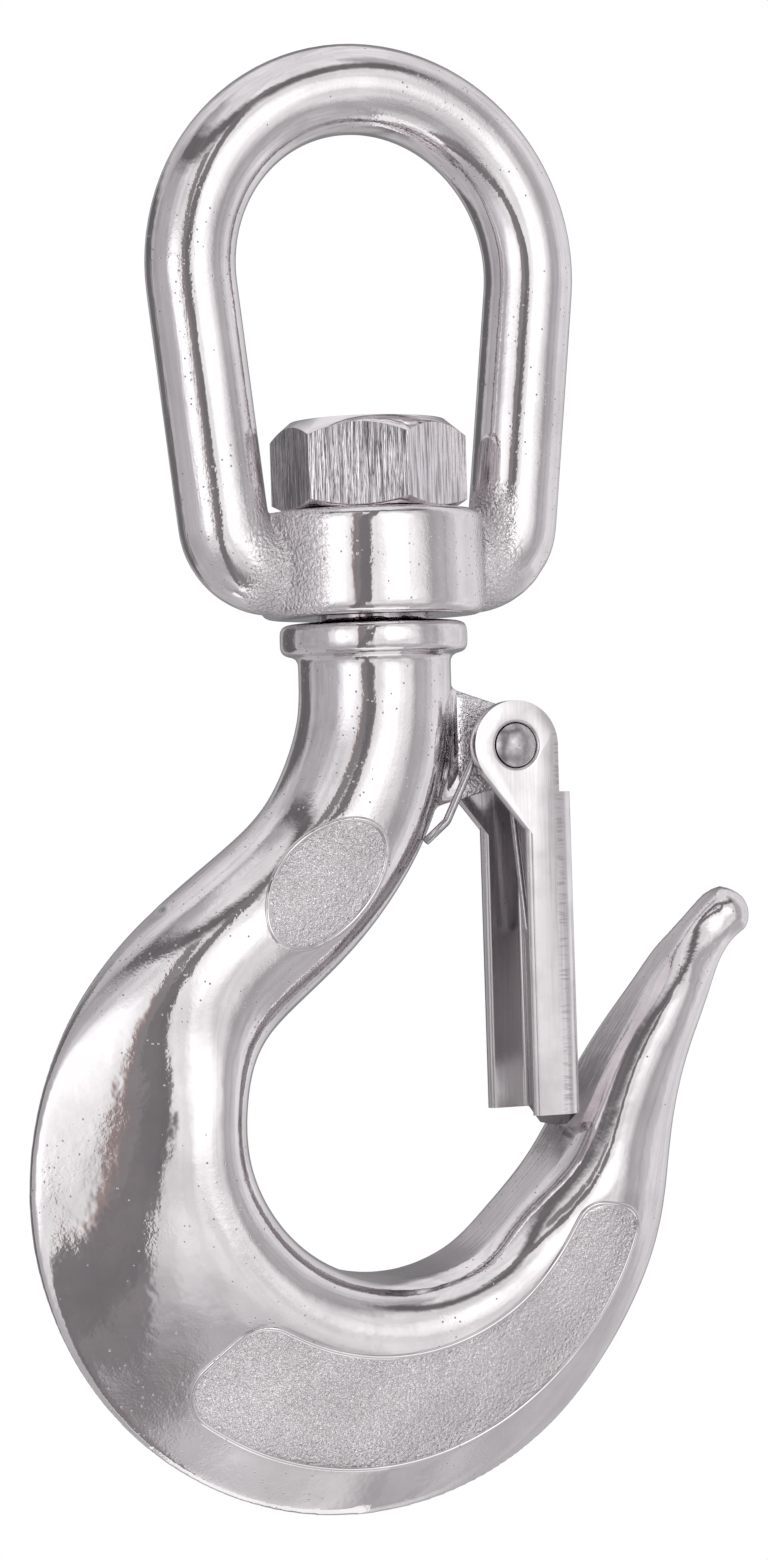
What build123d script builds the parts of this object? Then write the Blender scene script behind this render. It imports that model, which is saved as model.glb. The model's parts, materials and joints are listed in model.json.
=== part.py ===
from build123d import *

import os
from math import acos, atan2, copysign, cos, degrees, isclose, pi, radians, sin, sqrt, tan
from typing import NamedTuple

# Swivel-eye slip hook with a spring safety latch, in millimetres, +Z up.
# The origin is the inside crown of the eye, on the swivel axis, where the hook hangs.
# The hook lies in the XZ plane, with its tip and latch on the +X side and its cast panels on the -Y side.

# Eye: a round bar bent to an arch, on a bored boss
eye_bar_d = 10.0
eye_arch_r = 15.2
eye_inner_height = 42.0
eye_leg_taper = 6.2
eye_corner_r = 5.6
boss_d = 25.0
boss_height = 11.7
boss_round = 1.2

# Stem and nut: the swivel
stem_d = 12.0
stem_chamfer = 0.8
swivel_clearance = 0.08
nut_flats = 19.0
nut_height = 10.0
nut_turn = 32.0
nut_land = 0.9
nut_chamfer = 2.0
nut_foot_land = 0.4
nut_foot_chamfer = 1.0
nut_seat_gap = 0.05
thread_clearance = 0.05

# Collar and shank
collar_overhang = 1.95
collar_height = 3.6
collar_gap = 0.6
collar_round = 1.0
shank_d = 17.0
neck_length = 3.0
neck_lap = 1.0
neck_round = 0.6

# S-bend below the neck
bend_r = 30.0
bend_sweep = 46.0
bend_swell = 0.6
bend_power = 2.1
bend_steps = 3

# Bowl: an oval seat inside a round rim that lies off its centre
bowl_drop = 109.8
bowl_shift_x = -0.4
bowl_half_width = 17.6
bowl_half_height = 17.0
bowl_start = 145.0
bowl_end = 325.0
bowl_steps = 8
bowl_lead = 1 / 3
bowl_thickness = 14.0
bowl_taper = 0.74
bowl_lean = 0.75
bowl_swell = 0.5
bowl_power = 2.3
rim_r = 37.2
rim_shift_x = -4.0
rim_shift_z = -5.9
rim_flat = 0.8
rim_flat_angle = 215.0
seat_flat = 0.5

# Tip: leaves the bowl straight and flares outwards
tip_angle = 59.0
tip_length = 34.2
tip_start = -14.0
tip_relief = 2.5
tip_flare = 3.4
tip_steps = 4
dome_turns = (0.0, 25.0, 48.0, 68.0)
throat_depth = 15.2
throat_thickness = 18.0
throat_taper = 0.2
throat_fade = 1.6
tip_d = 6.6

# Cast panels on the flank
panel_depth = 0.4
oval_length = 16.4
oval_width = 9.9
oval_sweep = 47.0
band_start = 224.0
band_end = 351.0
band_width = 6.4
band_shift_x = -2.6
band_margin = 5.8
band_start_round = 0.36
band_end_round = 0.42

# Latch lug and pin
pin_x = 13.9
pin_drop = 10.5
pin_d = 4.8
pin_stand = 0.7
pin_dome = 0.9
lug_thickness = 5.6
lug_end_r = 4.5
lug_root_depth = 6.4
lug_root_rise = 8.6
lug_root_fall = 7.6
lug_round = 0.8

# Latch: one folded sheet with two ears
latch_width = 14.0
latch_sheet = 1.5
latch_bend_r = 2.0
latch_reach = 6.95
flange_depth = 5.2
ear_r = 5.0
ear_clearance = 0.08
ear_hole_round = 0.5
ear_notch_drop = 10.1
web_top_drop = 5.3
tongue_length = 1.6
tongue_width = 4.0
latch_gap = 0.3

# Spring: one wire, wound on the pin at both sides of the lug
wire_d = 0.9
coil_clearance = 0.35
coil_turns = 1
coil_pitch = 0.95
coil_side_gap = 0.15
loop_leg = 22.0
loop_corner_r = 1.2
wire_gap = 0.15
free_elbow_angle = 23.5
free_end_angle = 28.0
free_elbow_lift = 1.8
free_end_lift = 0.4
free_corner_r = 1.2

section_points = 16
round_power = 2.0


class Station(NamedTuple):
    """One section of the hook: its two ends in the XZ plane and its form."""

    inner: tuple
    outer: tuple
    thickness: float
    taper: float
    power: float


def polar(centre, radius, angle):
    """The point of the XZ plane at a radius and an angle in degrees from a centre."""
    return (centre[0] + radius * cos(radians(angle)), centre[1] + radius * sin(radians(angle)))


def between(low, high, share):
    return low + (high - low) * share


# Levels down the swivel axis
bar_r = eye_bar_d / 2
boss_top = -eye_inner_height
boss_bottom = boss_top - boss_height
nut_bottom = boss_top + nut_seat_gap
nut_top = nut_bottom + nut_height
collar_top = boss_bottom - collar_gap
collar_bottom = collar_top - collar_height
bend_top = collar_bottom - neck_length
neck_bottom = bend_top + neck_lap
pin_z = collar_bottom - pin_drop
shank_r = shank_d / 2
lug_root_x = shank_r - lug_root_depth
collar_r = shank_r + collar_overhang
stem_r = stem_d / 2
pin_r = pin_d / 2
ear_hole_r = pin_r + ear_clearance
nut_corner_r = nut_flats / sqrt(3)
section_parameters = [step / section_points for step in range(section_points + 1)]

# Centres in the XZ plane
bend_centre = (-bend_r, bend_top)
bowl_centre = (bowl_shift_x, -bowl_drop)
rim_centre = (bowl_centre[0] + rim_shift_x, bowl_centre[1] + rim_shift_z)
rim_cast_centre = polar(rim_centre, rim_flat, rim_flat_angle)
tip_along = (cos(radians(tip_angle)), sin(radians(tip_angle)))
tip_across = (tip_along[1], -tip_along[0])


def seat_radius(angle):
    """Distance from the bowl's centre to its seat."""
    wide = cos(radians(angle)) / bowl_half_width
    high = sin(radians(angle)) / bowl_half_height
    return 1 / sqrt(wide**2 + high**2)


def reach(start, angle, centre, radius):
    """Distance from a point inside a circle to the circle, along an angle in degrees."""
    across = start[0] - centre[0]
    up = start[1] - centre[1]
    along = cos(radians(angle)) * across + sin(radians(angle)) * up
    return sqrt(along**2 - across**2 - up**2 + radius**2) - along


def bend_station(share):
    angle = -bend_sweep * share
    return Station(
        polar(bend_centre, bend_r + shank_r + bend_swell * share, angle),
        polar(bend_centre, bend_r - shank_r, angle),
        shank_d,
        0.0,
        between(round_power, bend_power, share),
    )


def bowl_station(share):
    """A section of the bowl: a wedge with a thin rim, cast proud of its seat's ground flat."""
    angle = between(bowl_start, bowl_end, share)
    lead = min(1.0, share / bowl_lead)
    swell = sin(pi * share**bowl_lean) ** bowl_swell
    return Station(
        polar(bowl_centre, seat_radius(angle) - seat_flat * lead, angle),
        polar(bowl_centre, reach(bowl_centre, angle, rim_cast_centre, rim_r), angle),
        between(shank_d, bowl_thickness, swell),
        bowl_taper * swell + throat_taper * share,
        between(bend_power, bowl_power, lead),
    )


def tip_line(share):
    """The seat line of the tip, which runs straight and then flares outwards."""
    start = polar(bowl_centre, seat_radius(tip_start) + tip_relief, tip_start)
    along = tip_length * share
    across = tip_flare * share**3
    return (
        start[0] + along * tip_along[0] + across * tip_across[0],
        start[1] + along * tip_along[1] + across * tip_across[1],
    )


def tip_station(share):
    seat = tip_line(share)
    depth = between(tip_d - seat_flat, throat_depth, (1 - share) ** throat_fade)
    return Station(
        (seat[0] - seat_flat * tip_across[0], seat[1] - seat_flat * tip_across[1]),
        (seat[0] + depth * tip_across[0], seat[1] + depth * tip_across[1]),
        between(throat_thickness, tip_d, share),
        throat_taper * (1 - share),
        between(bowl_power, round_power, share**2),
    )


def dome_station(turn):
    """A section of the round end of the tip, at a turn in degrees from the tip's last section."""
    seat = tip_line(1)
    middle = tip_d / 2 - seat_flat
    width = tip_d * cos(radians(turn))
    rise = tip_d / 2 * sin(radians(turn))
    base = (
        seat[0] + middle * tip_across[0] + rise * tip_along[0],
        seat[1] + middle * tip_across[1] + rise * tip_along[1],
    )
    return Station(
        (base[0] - width / 2 * tip_across[0], base[1] - width / 2 * tip_across[1]),
        (base[0] + width / 2 * tip_across[0], base[1] + width / 2 * tip_across[1]),
        width,
        0.0,
        round_power,
    )


stations = [bend_station(step / bend_steps) for step in range(1, bend_steps + 1)]
stations += [bowl_station(step / bowl_steps) for step in range(bowl_steps + 1)]
stations += [tip_station(step / tip_steps) for step in range(tip_steps + 1)]
dome_stations = [dome_station(turn) for turn in dome_turns]


def station_plane(station):
    """Plane of a section: its X runs from seat to rim and its Y along the part's Y."""
    across = (station.outer[0] - station.inner[0], station.outer[1] - station.inner[1])
    middle = ((station.outer[0] + station.inner[0]) / 2, (station.outer[1] + station.inner[1]) / 2)
    return Plane(
        origin=(middle[0], 0, middle[1]),
        x_dir=(across[0], 0, across[1]),
        z_dir=(-across[1], 0, across[0]),
    )


def station_outline(station, skin):
    """Rounded outline of a section, narrower at the rim, with its flanks set in by a skin."""
    half_depth = sqrt(
        (station.outer[0] - station.inner[0]) ** 2 + (station.outer[1] - station.inner[1]) ** 2
    ) / 2
    half_thickness = station.thickness / 2 - skin
    outline = []
    for step in range(section_points):
        turn = 2 * pi * step / section_points
        along = copysign(abs(cos(turn)) ** (2 / station.power), cos(turn))
        side = copysign(abs(sin(turn)) ** (2 / station.power), sin(turn))
        outline.append((half_depth * along, half_thickness * side * (1 - station.taper * along)))
    return outline


def section_edge(outline):
    """Closed curve through an outline, with the same parameters for every section of the loft."""
    points = [Vector(*point) for point in outline]
    return Edge.make_spline(points, periodic=True, parameters=section_parameters)


def cast_bar(skin):
    """The hook's bent bar from the neck to the tip, with its flanks set in by a skin."""
    with BuildPart() as bar:
        for level in (neck_bottom, bend_top):
            with BuildSketch(Plane(origin=(0, 0, level), x_dir=(-1, 0, 0), z_dir=(0, 0, -1))):
                Circle(shank_r - skin)
        for run in (stations, dome_stations):
            for station in run:
                with BuildSketch(station_plane(station)):
                    with BuildLine():
                        add(section_edge(station_outline(station, skin)))
                    make_face()
            loft()
    return bar.part


# Swivel eye
arch_centre = (0, -eye_arch_r)
arch_line_r = eye_arch_r + bar_r
foot_z = boss_bottom + bar_r + boss_round / 4
leg_top = polar(arch_centre, arch_line_r, -eye_leg_taper)
leg_foot_x = leg_top[0] - (leg_top[1] - foot_z) * tan(radians(eye_leg_taper))
foot_inner_x = stem_r / 2

with BuildPart() as swivel_eye:
    with BuildSketch(Plane.XY.offset(boss_bottom)):
        Circle(boss_d / 2)
    extrude(amount=boss_height)
    fillet(swivel_eye.edges().filter_by(GeomType.CIRCLE), radius=boss_round)
    with BuildLine(Plane.XZ) as bail_line:
        foot_and_leg = FilletPolyline(
            (foot_inner_x, foot_z), (leg_foot_x, foot_z), leg_top, radius=eye_corner_r
        )
        mirror(foot_and_leg, about=Plane.YZ)
        CenterArc(arch_centre, arch_line_r, -eye_leg_taper, 180 + 2 * eye_leg_taper)
    with BuildSketch(Plane(origin=(foot_inner_x, 0, foot_z), z_dir=(1, 0, 0))):
        Circle(bar_r)
    sweep(path=bail_line.wires()[0])
    with BuildSketch(Plane.XY.offset(boss_bottom)):
        Circle(stem_r + swivel_clearance)
    extrude(amount=boss_height, mode=Mode.SUBTRACT)
swivel_eye.part.label = "swivel_eye"

# Panel cutter: the two panel outlines, down to a skin below the near flank
oval_middle = polar(bend_centre, bend_r, -oval_sweep)
band_centre = (bowl_centre[0] + band_shift_x, bowl_centre[1])
band_outer_r = rim_r - band_margin
band_angles = (band_start, (band_start + band_end) / 2, band_end)
band_reach = [reach(rim_centre, angle, band_centre, band_outer_r - band_width) for angle in band_angles]
band_points = [polar(rim_centre, radius, angle) for radius, angle in zip(band_reach, band_angles)]
start_round = band_start_round * (band_outer_r - band_reach[0])
end_round = band_end_round * (band_outer_r - band_reach[-1])
panel_skin = cast_bar(panel_depth)

with BuildPart() as panels:
    with BuildSketch(Plane.XZ) as panel_outlines:
        with BuildLine():
            inner_edge = ThreePointArc(*band_points)
            outer_edge = CenterArc(rim_centre, band_outer_r, band_start, band_end - band_start)
            Line(inner_edge @ 0, outer_edge @ 0)
            Line(inner_edge @ 1, outer_edge @ 1)
        make_face()
        fillet(panel_outlines.vertices().sort_by(Axis.X)[:2], radius=start_round)
        fillet(panel_outlines.vertices().sort_by(Axis.X)[-2:], radius=end_round)
        with Locations(oval_middle):
            Ellipse(oval_length / 2, oval_width / 2, rotation=90 - oval_sweep)
    extrude(amount=bowl_thickness)
    add(panel_skin, mode=Mode.SUBTRACT)

# Lug of the latch pin, rooted inside the shank
with BuildPart() as lug:
    with BuildSketch(Plane.XZ):
        with BuildLine():
            Line((lug_root_x, pin_z + lug_root_rise), (lug_root_x, pin_z - lug_root_fall))
            CenterArc((pin_x, pin_z), lug_end_r, 0, 360)
        make_hull()
    extrude(amount=lug_thickness / 2, both=True)
    fillet(lug.faces().filter_by(Axis.Y).edges(), radius=lug_round)

# Hook body
bowl_angles = [between(bowl_start, bowl_end, step / bowl_steps) for step in range(bowl_steps + 1)]
seat_line = [polar(bowl_centre, seat_radius(angle), angle) for angle in bowl_angles]
seat_line += [tip_line(step / tip_steps) for step in range(tip_steps + 2)]
throat_side = polar(seat_line[-1], tip_length, 180)

with BuildPart() as hook_body:
    add(cast_bar(0))
    with BuildSketch(Plane.XZ):
        with BuildLine():
            ground_line = Spline(*seat_line)
            Polyline(ground_line @ 1, throat_side, ground_line @ 0)
        make_face()
    extrude(amount=bowl_thickness, both=True, mode=Mode.SUBTRACT)
    with BuildSketch(Plane.XZ):
        with Locations(rim_centre):
            Circle(rim_r + bowl_thickness)
            Circle(rim_r, mode=Mode.SUBTRACT)
            Rectangle(
                2 * rim_r,
                4 * rim_r,
                rotation=rim_flat_angle,
                align=(Align.MIN, Align.CENTER),
                mode=Mode.INTERSECT,
            )
    extrude(amount=bowl_thickness, both=True, mode=Mode.SUBTRACT)
    add(panels.part, mode=Mode.SUBTRACT)
    with BuildSketch(Plane.XZ) as neck_half:
        with BuildLine():
            Polyline(
                (0, nut_top),
                (stem_r - stem_chamfer, nut_top),
                (stem_r, nut_top - stem_chamfer),
                (stem_r, collar_top),
                (collar_r, collar_top),
                (collar_r, collar_bottom),
                (shank_r, collar_bottom),
                (shank_r, neck_bottom),
                (0, neck_bottom),
                close=True,
            )
        make_face()
        fillet(neck_half.vertices().group_by(Axis.X)[-2].sort_by(Axis.Y)[-1], radius=neck_round)
        fillet(neck_half.vertices().group_by(Axis.X)[-1], radius=collar_round)
    revolve(axis=Axis.Z)
    add(lug.part)
    with BuildSketch(Plane.XZ):
        with Locations((pin_x, pin_z)):
            Circle(pin_r)
    extrude(amount=lug_thickness, both=True, mode=Mode.SUBTRACT)
hook_body.part.label = "hook_body"

# Swivel nut
with BuildPart() as swivel_nut:
    with BuildSketch(Plane.XY.offset(nut_bottom)):
        RegularPolygon(nut_flats / 2, 6, major_radius=False, rotation=nut_turn)
    extrude(amount=nut_height)
    with BuildSketch(Plane.XZ):
        with BuildLine():
            Polyline(
                (0, nut_top),
                (nut_flats / 2 - nut_land, nut_top),
                (nut_corner_r, nut_top - nut_chamfer),
                (nut_corner_r, nut_bottom + nut_foot_chamfer),
                (nut_flats / 2 - nut_foot_land, nut_bottom),
                (0, nut_bottom),
                close=True,
            )
        make_face()
    revolve(axis=Axis.Z, mode=Mode.INTERSECT)
    with BuildSketch(Plane.XY.offset(nut_bottom)):
        Circle(stem_r + thread_clearance)
    extrude(amount=nut_height, mode=Mode.SUBTRACT)
swivel_nut.part.label = "swivel_nut"

# Safety latch
half_width = latch_width / 2
web_outer_x = pin_x + latch_reach
web_inner_x = web_outer_x - latch_sheet
flange_x = web_outer_x - flange_depth
bend_x = web_outer_x - latch_bend_r
web_top = pin_z - web_top_drop
notch_z = pin_z - ear_notch_drop
ground_start = tip_line(0)
tongue_bottom = ground_start[1] + (web_outer_x + latch_gap - ground_start[0]) * tan(radians(tip_angle))
latch_bottom = tongue_bottom + tongue_length

with BuildPart() as safety_latch:
    with BuildSketch(Plane.XY.offset(latch_bottom)):
        with BuildLine():
            channel = FilletPolyline(
                (flange_x, half_width - latch_sheet / 2),
                (web_outer_x - latch_sheet / 2, half_width - latch_sheet / 2),
                (web_outer_x - latch_sheet / 2, latch_sheet / 2 - half_width),
                (flange_x, latch_sheet / 2 - half_width),
                radius=latch_bend_r - latch_sheet / 2,
            )
            offset(channel, amount=latch_sheet / 2, side=Side.BOTH)
        make_face()
    extrude(amount=web_top - latch_bottom)
    with BuildSketch(Plane.XZ.offset(half_width)):
        with BuildLine():
            CenterArc((pin_x, pin_z), ear_r, 0, 360)
            Line((flange_x, notch_z), (bend_x, notch_z))
        make_hull()
    extrude(amount=-latch_sheet)
    mirror(about=Plane.XZ)
    with BuildSketch(Plane.YZ.offset(web_inner_x)):
        with Locations((0, latch_bottom)):
            Trapezoid(
                latch_width - 2 * latch_bend_r,
                tongue_length,
                degrees(atan2(tongue_length, half_width - latch_bend_r - tongue_width / 2)),
                rotation=180,
                align=(Align.CENTER, Align.MIN),
            )
    extrude(amount=latch_sheet)
    with BuildSketch(Plane.XZ):
        with Locations((pin_x, pin_z)):
            Circle(ear_hole_r)
    extrude(amount=latch_width, both=True, mode=Mode.SUBTRACT)
    circles = safety_latch.edges().filter_by(GeomType.CIRCLE)
    hole_edges = circles.filter_by(lambda edge: isclose(edge.radius, ear_hole_r)).group_by(Axis.Y)
    fillet(hole_edges[0] + hole_edges[-1], radius=ear_hole_round)
safety_latch.part.label = "safety_latch"

# Latch pin
pin_half = half_width + pin_stand
with BuildPart() as latch_pin:
    with BuildSketch(Plane(origin=(pin_x, 0, pin_z), x_dir=(1, 0, 0), z_dir=(0, 0, 1))):
        with BuildLine():
            near_dome = TangentArc((0, -pin_half), (pin_r, pin_dome - pin_half), tangent=(1, 0))
            far_dome = TangentArc((0, pin_half), (pin_r, pin_half - pin_dome), tangent=(1, 0))
            Line(near_dome @ 0, far_dome @ 0)
            Line(near_dome @ 1, far_dome @ 1)
        make_face()
    revolve(axis=Axis((pin_x, 0, pin_z), (0, 1, 0)))
latch_pin.part.label = "latch_pin"

# Latch spring: half of it on the near side, mirrored
wire_r = wire_d / 2
coil_r = pin_r + coil_clearance + wire_r
coil_start_y = lug_thickness / 2 + coil_side_gap + wire_r
loop_x = web_inner_x - wire_gap - wire_r - pin_x
loop_turn = degrees(atan2(loop_leg, coil_r) - acos(loop_x / sqrt(loop_leg**2 + coil_r**2)))

free_side = coil_start_y + coil_pitch * (coil_turns + 0.5)
shank_side = sqrt(shank_r**2 - free_side**2) + wire_r + wire_gap
free_elbow = polar(bend_centre, bend_r + shank_side + free_elbow_lift, -free_elbow_angle)
free_end = polar(bend_centre, bend_r + shank_side + free_end_lift, -free_end_angle)
elbow_x = free_elbow[0] - pin_x
elbow_z = free_elbow[1] - pin_z
free_turn = degrees(atan2(elbow_z, elbow_x)) - degrees(acos(coil_r / sqrt(elbow_x**2 + elbow_z**2)))
coil_sweep = 360 * coil_turns + (free_turn - loop_turn) % 360
coil_axis = Plane(
    origin=(pin_x, -coil_start_y, pin_z),
    x_dir=(cos(radians(loop_turn)), 0, sin(radians(loop_turn))),
    z_dir=(0, -1, 0),
)
coil = coil_axis * Helix(coil_pitch, coil_pitch * coil_sweep / 360, coil_r)
loop_corner = coil @ 0 - (coil % 0) * loop_leg
free_corner = Vector(free_elbow[0], (coil @ 1).Y, free_elbow[1])
free_tip = Vector(free_end[0], (coil @ 1).Y, free_end[1])

with BuildPart() as latch_spring:
    with BuildLine() as wire:
        FilletPolyline(Vector(loop_corner.X, 0, loop_corner.Z), loop_corner, coil @ 0, radius=loop_corner_r)
        add(coil)
        FilletPolyline(coil @ 1, free_corner, free_tip, radius=free_corner_r)
    with BuildSketch(Plane(origin=wire.wires()[0] @ 0, z_dir=wire.wires()[0] % 0)):
        Circle(wire_r)
    sweep(path=wire.wires()[0])
    mirror(about=Plane.XZ)
latch_spring.part.label = "latch_spring"

os.makedirs("parts", exist_ok=True)
export_step(swivel_eye.part, "parts/swivel_eye.step")
export_step(hook_body.part, "parts/hook_body.step")
export_step(swivel_nut.part, "parts/swivel_nut.step")
export_step(safety_latch.part, "parts/safety_latch.step")
export_step(latch_pin.part, "parts/latch_pin.step")
export_step(latch_spring.part, "parts/latch_spring.step")
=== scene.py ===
import json
import math

import bpy
from mathutils import Matrix, Vector


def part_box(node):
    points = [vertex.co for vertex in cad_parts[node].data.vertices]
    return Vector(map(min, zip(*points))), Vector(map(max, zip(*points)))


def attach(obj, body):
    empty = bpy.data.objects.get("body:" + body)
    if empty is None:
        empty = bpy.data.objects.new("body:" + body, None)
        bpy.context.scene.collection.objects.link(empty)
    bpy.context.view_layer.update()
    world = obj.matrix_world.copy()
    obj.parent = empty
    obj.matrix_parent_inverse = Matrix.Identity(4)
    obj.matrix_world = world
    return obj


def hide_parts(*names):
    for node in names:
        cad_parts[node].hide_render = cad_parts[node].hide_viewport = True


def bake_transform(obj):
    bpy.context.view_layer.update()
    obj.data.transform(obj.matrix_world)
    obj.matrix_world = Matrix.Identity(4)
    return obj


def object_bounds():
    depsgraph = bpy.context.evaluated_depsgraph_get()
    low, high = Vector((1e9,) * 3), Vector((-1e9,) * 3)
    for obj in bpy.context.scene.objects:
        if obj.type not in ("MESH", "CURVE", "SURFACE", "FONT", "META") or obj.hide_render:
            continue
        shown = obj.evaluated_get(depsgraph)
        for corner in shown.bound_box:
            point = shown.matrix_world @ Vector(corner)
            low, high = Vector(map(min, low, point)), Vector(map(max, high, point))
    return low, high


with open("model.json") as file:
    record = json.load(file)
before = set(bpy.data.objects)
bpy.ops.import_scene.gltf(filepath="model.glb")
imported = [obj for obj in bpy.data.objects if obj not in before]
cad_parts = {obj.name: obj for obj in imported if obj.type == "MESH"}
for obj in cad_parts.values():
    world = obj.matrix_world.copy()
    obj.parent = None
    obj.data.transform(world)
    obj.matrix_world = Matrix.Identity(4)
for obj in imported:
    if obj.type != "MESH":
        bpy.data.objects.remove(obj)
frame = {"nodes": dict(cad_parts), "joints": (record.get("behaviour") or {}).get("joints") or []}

bl_info = {
    "name": "Swivel-eye slip hook",
    "version": (1, 0, 0),
    "blender": (4, 5, 0),
    "location": "3D View > Sidebar > Hook",
    "description": "Dresses a cast swivel hook with a sprung latch and sets it in a white studio",
    "category": "Object",
}

MM = 0.001
CAD_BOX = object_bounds()

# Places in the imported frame, and sizes of the latch's sheet and spring
JOINTS = {joint["name"]: joint for joint in frame["joints"]}
PIN = Vector(JOINTS["latch_hinge"]["pos_m"])
LATCH_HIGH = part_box("safety_latch")[1]
SHEET = 1.5 * MM
SHEET_BEND = 2.0 * MM
FOLD_X = LATCH_HIGH[0] - SHEET_BEND

# Panel outlines on the hook's near flank, in the XZ plane
RIM_CENTRE = Vector((-4.4 * MM, -115.7 * MM))
BAND_CENTRE = Vector((-3.0 * MM, -109.8 * MM))
BAND_INNER_R = 25.0 * MM
BAND_OUTER_R = 31.4 * MM
BAND_ANGLES = (224.0, 351.0)
BAND_ROUNDS = (4.2 * MM, 2.8 * MM)
OVAL_CENTRE = Vector((-9.54 * MM, -82.84 * MM))
OVAL_HALF = (8.2 * MM, 4.95 * MM)
OVAL_TURN = 43.0
RIM_STEPS = 18
CORNER_STEPS = 6
FRONT = 2 * CAD_BOX[0][1]

# Places and slopes where one finish fades into another, each from nothing to its full share
PANEL_EDGE = (-0.3 * MM, 0.2 * MM)
PANEL_SLOPE = (0.1, 0.3)
GROUND_TOP = (-80 * MM, -72 * MM)
GROUND_SLOPE = (0.1, 0.24)
LUG_SIDE = (8.6 * MM, 9.6 * MM)
LUG_FOOT = (PIN.z - 12 * MM, PIN.z - 10 * MM)
# Where the painted shade inside the latch's channel fades in, by place and by slope
CHANNEL_SHADE_EDGE = (LATCH_HIGH[1] - 0.8 * SHEET, LATCH_HIGH[1] - 0.4 * SHEET)
CHANNEL_SHADE_SLOPE = (-0.6, -0.3)
ROOT_INNER = (7.5 * MM, 11.0 * MM)
ROOT_OUTER = (13.0 * MM, 17.0 * MM)
ROOT_TOP = (-42 * MM, -38 * MM)
LEG_SIDE = (14 * MM, 16 * MM)
LEG_TOP = (-15 * MM, -14 * MM)
LEG_SLOPE = (0.5, 0.75)

# Sizes of the patterns in the finishes
BUFF_PATCH = 9 * MM
PORE_FIELD = 11 * MM
PORE = 0.5 * MM
WAVE, PEEL, FINE_GRAIN, COARSE_GRAIN = 5 * MM, 1.1 * MM, 0.3 * MM, 0.4 * MM
BELT_LINE = (9 * MM, 0.5 * MM, 9 * MM)
BRUSH_LINE = (0.3 * MM, 0.3 * MM, 6 * MM)
ROLL_LINE = (0.35 * MM, 0.35 * MM, 9 * MM)
PRESS_TICK = (2.5 * MM, 2.5 * MM, 0.28 * MM)
TICK_EDGE = (0.2 * MM, 0.8 * MM)
SHEET_CLOUD = 3 * MM
DIE_MARK = 0.5 * MM

# Values of a pattern between which a mark grows to its full share, and the shares
PATCH_BAND = (0.35, 0.65)
POROUS_BAND = (0.4, 0.7)
POROSITY = (0.01, 0.32)
EDGE_POROSITY = 1.6
PORE_BAND = (0.08, 0.26)
# Greying of the dull zones: their cast grain, and on the lug partly painted shade
DULL_SHADE = 0.03
BRUSH_BAND = (0.45, 0.65)
BRUSH_SLOPE = (0.15, 0.35)
TICK_BAND = (0.5, 0.62)
TICK_SHADE = 0.45
WORN_BAND = (0.4, 0.75)
WORN_SHADE = 0.25

# Depths of the relief, in millimetres
WAVE_DEPTH = 0.035
PEEL_DEPTH = 0.013
GRAIN_DEPTH = 0.045
DULL_DEPTH = 0.38
BELT_DEPTH = 0.05
PIT_DEPTH = 0.035
BRUSH_DEPTH = 0.1
ROLL_DEPTH = 0.014

# Roughness of each finish from least to most, and what the parts of a casting add to it
CAST_ROUGHNESS = (0.03, 0.1)
DULL_ROUGHER, GROUND_ROUGHER, PIT_ROUGHER = 0.05, 0.08, 0.1
BAR_ROUGHNESS = (0.06, 0.14)
SHEET_ROUGHNESS = (0.16, 0.26)
WIRE_ROUGHNESS = (0.18, 0.32)

# Names of the finishes
CAST_STEEL = "Cast stainless steel, tumbled and buffed"
BAR_STEEL = "Drawn stainless bar, brushed"
SHEET_STEEL = "Cold-rolled stainless sheet, satin"
WIRE_STEEL = "Drawn spring wire"

# View of the reference: distance and height of the lens, its turn about the hook and its lean
VIEW_TURN = math.radians(22.0)
VIEW_LEAN = math.radians(1.8)
VIEW_DISTANCE = 420 * MM
VIEW_HEIGHT = -71.8 * MM
VIEW_ASIDE = 0.67 * MM
SENSOR = 36.0
LENS = 87.2

# Colour of the tent by the angle around the hook, from the lens to its right, in degrees
TENT_ROUND = (
    (-180, "#8e8c8e"),
    (-162, "#a4a2a4"),
    (-148, "#dcdadc"),
    (-125, "#e2e0e2"),
    (-100, "#c0bec0"),
    (-62, "#ceccce"),
    (-44, "#f6f4f6"),
    (-20, "#ffffff"),
    (0, "#ffffff"),
    (54, "#ffffff"),
    (66, "#c4c2c4"),
    (84, "#cac8ca"),
    (100, "#fcfafc"),
    (116, "#f8f6f8"),
    (146, "#f4f2f4"),
    (164, "#a8a6a8"),
    (180, "#8e8c8e"),
)
# Cards in the tent, dark ones that draw the form and pale ones above and behind the hook:
# edges around the hook, edges in height and soft border in degrees, turn per degree of rise, and colour
CARDS = (
    ((-180, 180), (-58, -28), 14.0, 0.0, "#ceccce"),
    ((-95, 75), (42, 56), 7.0, 0.0, "#7c797b"),
    ((-26, 4), (-74, -38), 8.0, 0.0, "#a6a2a4"),
    ((-18, -12), (-90, 40), 2.0, 0.0, "#ac9893"),
    ((-16, -6), (-90, 40), 1.5, 0.0, "#9a9698"),
    ((-12, 0), (-90, 58), 1.5, 0.35, "#8a8688"),
    ((-150, -114), (-25, 25), 8.0, 0.0, "#757375"),
    ((-180, 180), (68, 92), 8.0, 0.0, "#fcfafc"),
    ((-190, -110), (46, 92), 10.0, 0.0, "#fcfafc"),
    ((110, 190), (46, 92), 10.0, 0.0, "#fcfafc"),
)
# Folds per radian and blotches per unit of direction in the tent's cloth, and how far they darken it
FOLDS = 5.0
BLOTCHES = 7.0
CLOTH_BAND = (0.35, 0.65)
CLOTH_SHADE = 0.86
WHITE = "#ffffff"
PLAIN_LIGHT = "#d0d0d0"
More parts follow.
